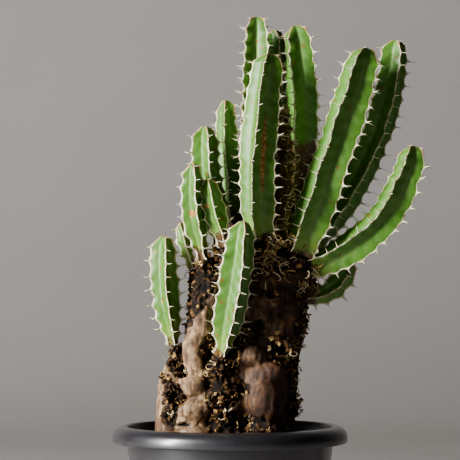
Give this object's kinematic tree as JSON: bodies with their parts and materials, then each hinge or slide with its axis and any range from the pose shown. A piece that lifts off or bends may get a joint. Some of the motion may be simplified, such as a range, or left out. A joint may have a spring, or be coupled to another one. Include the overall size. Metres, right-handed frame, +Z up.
{
  "type": "potted euphorbia",
  "caption": "Potted succulent with a thick gnarled trunk and upright four-ribbed spiny green stems, in a round tapered pot with a rolled rim.",
  "frame": {"origin": "centre of the pot's underside, on the pot's axis", "axes": "+Z up along the pot's axis; the plant's front faces -Y and its tall outer stems lean towards +X"},
  "size_m": [0.2397, 0.18, 0.4721],
  "materials": {
    "pot_plastic": "satin",
    "soil_mix": "matte",
    "bark": "matte",
    "green_skin": "satin",
    "dead_wood": "matte"
  },
  "bodies": {
    "root": {"pot": "pot_plastic", "soil": "soil_mix", "trunk": "bark", "stem_left_low": "green_skin", "stem_front_low": "green_skin", "stem_left_behind": "green_skin", "stem_left_middle": "green_skin", "stem_left_tall": "green_skin", "stem_left_inner": "green_skin", "stem_left_rear": "green_skin", "stem_centre_front": "green_skin", "stem_tallest": "green_skin", "stem_rear_tall": "green_skin", "stem_dead": "dead_wood", "stem_centre_right": "green_skin", "stem_right_broad": "green_skin", "stem_right_tall": "green_skin", "stem_right_arching": "green_skin", "stem_right_low": "green_skin"}
  },
  "joints": []
}
